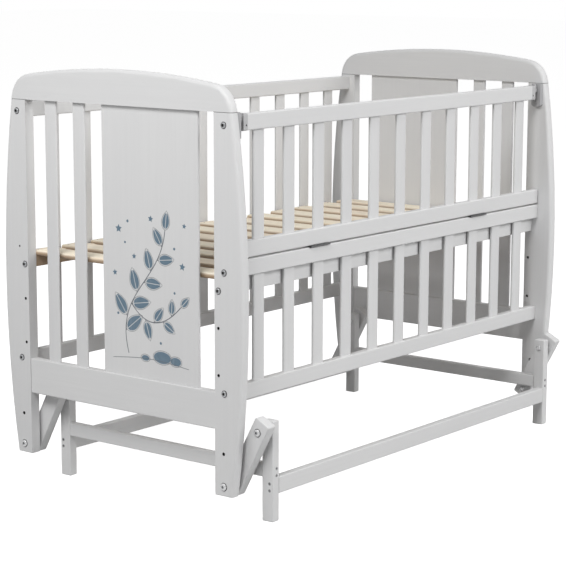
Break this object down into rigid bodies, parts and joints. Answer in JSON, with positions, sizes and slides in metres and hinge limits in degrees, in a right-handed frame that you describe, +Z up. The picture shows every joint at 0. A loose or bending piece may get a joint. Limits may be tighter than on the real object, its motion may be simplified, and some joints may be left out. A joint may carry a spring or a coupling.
{
  "type": "crib",
  "caption": "Slatted child's crib with arched ends and a fold-down front gate, hung on swinging links in a low stand so that it rocks from front to back.",
  "frame": {"origin": "middle of the bounding box's footprint on the floor, with the cot swung back as in the picture", "axes": "+X along the cot towards its right end seen from the gate, +Y from the gate to the back, +Z up"},
  "size_m": [1.2578, 0.734, 0.9337],
  "materials": {
    "painted_wood": "satin light grey paint on pine, faint grain",
    "bare_pine": "bare planed pine",
    "steel": "zinc plated",
    "latch_plastic": "moulded light grey"
  },
  "bodies": {
    "stand": {"post_front_left": "painted_wood", "post_back_left": "painted_wood", "post_front_right": "painted_wood", "post_back_right": "painted_wood", "upper_pivot_bolt_front_left": "steel", "upper_pivot_bolt_back_left": "steel", "upper_pivot_bolt_front_right": "steel", "upper_pivot_bolt_back_right": "steel", "side_stretcher_front": "painted_wood", "side_stretcher_back": "painted_wood", "end_stretcher_left": "painted_wood", "end_stretcher_right": "painted_wood"},
    "link_front_left": {"swing_link_front_left": "painted_wood"},
    "link_back_left": {"swing_link_back_left": "painted_wood"},
    "link_front_right": {"swing_link_front_right": "painted_wood"},
    "link_back_right": {"swing_link_back_right": "painted_wood"},
    "cot": {"leg_front_left": "painted_wood", "leg_back_left": "painted_wood", "leg_front_right": "painted_wood", "leg_back_right": "painted_wood", "left_end_arched_rail": "painted_wood", "left_end_bottom_rail": "painted_wood", "left_end_wide_panel": "painted_wood", "fixed_hinge_leaf_left": "steel", "latch_keeper_left": "latch_plastic", "right_end_arched_rail": "painted_wood", "right_end_bottom_rail": "painted_wood", "right_end_wide_panel": "painted_wood", "fixed_hinge_leaf_right": "steel", "latch_keeper_right": "latch_plastic", "lower_pivot_bolt_front_left": "steel", "lower_pivot_bolt_back_left": "steel", "lower_pivot_bolt_front_right": "steel", "lower_pivot_bolt_back_right": "steel", "front_low_rail_with_slats": "painted_wood", "front_middle_rail": "painted_wood", "back_bottom_rail_with_slats": "painted_wood", "back_top_rail": "painted_wood", "base_front_rail": "painted_wood", "base_back_rail_with_slats": "bare_pine"},
    "gate": {"gate_bottom_rail": "painted_wood", "gate_top_rail": "painted_wood", "gate_slat_1": "painted_wood", "gate_slat_2": "painted_wood", "gate_slat_3": "painted_wood", "gate_slat_4": "painted_wood", "gate_slat_5": "painted_wood", "gate_slat_6": "painted_wood", "gate_slat_7": "painted_wood", "gate_slat_8": "painted_wood", "gate_slat_9": "painted_wood", "gate_slat_10": "painted_wood", "gate_slat_11": "painted_wood", "gate_hinge_leaf_left": "steel", "gate_hinge_leaf_right": "steel", "latch_housing_left": "latch_plastic", "latch_housing_right": "latch_plastic"},
    "latch_left": {"latch_tongue_left": "latch_plastic"},
    "latch_right": {"latch_tongue_right": "latch_plastic"}
  },
  "joints": [
    {"name": "swing", "type": "hinge", "parent": "stand", "child": "link_front_left", "pos_m": [-0.5795, -0.3384, 0.198], "axis": [-1, 0, 0], "range_deg": [0, 56]},
    {"name": "cot_level", "type": "hinge", "parent": "link_front_left", "child": "cot", "pos_m": [-0.5795, -0.27503, 0.0788], "axis": [-1, 0, 0], "range_deg": [-56, 0]},
    {"name": "swing_front_right", "type": "hinge", "parent": "stand", "child": "link_front_right", "pos_m": [0.5795, -0.3384, 0.198], "axis": [-1, 0, 0], "range_deg": [0, 56]},
    {"name": "swing_back_left", "type": "hinge", "parent": "stand", "child": "link_back_left", "pos_m": [-0.5795, 0.2516, 0.198], "axis": [-1, 0, 0], "range_deg": [0, 56]},
    {"name": "swing_back_right", "type": "hinge", "parent": "stand", "child": "link_back_right", "pos_m": [0.5795, 0.2516, 0.198], "axis": [-1, 0, 0], "range_deg": [0, 56]},
    {"name": "gate_fold", "type": "hinge", "parent": "cot", "child": "gate", "pos_m": [0, -0.29003, 0.5542], "axis": [1, 0, 0], "range_deg": [0, 180]},
    {"name": "latch_left_slide", "type": "slide", "parent": "gate", "child": "latch_left", "axis": [1, 0, 0], "range_m": [0, 0.008], "stiffness_N_per_m": 120},
    {"name": "latch_right_slide", "type": "slide", "parent": "gate", "child": "latch_right", "axis": [-1, 0, 0], "range_m": [0, 0.008], "stiffness_N_per_m": 120}
  ],
  "couplings": [
    {"joint": "cot_level", "follows": "swing", "ratio": -1},
    {"joint": "swing_front_right", "follows": "swing", "ratio": 1},
    {"joint": "swing_back_left", "follows": "swing", "ratio": 1},
    {"joint": "swing_back_right", "follows": "swing", "ratio": 1}
  ]
}
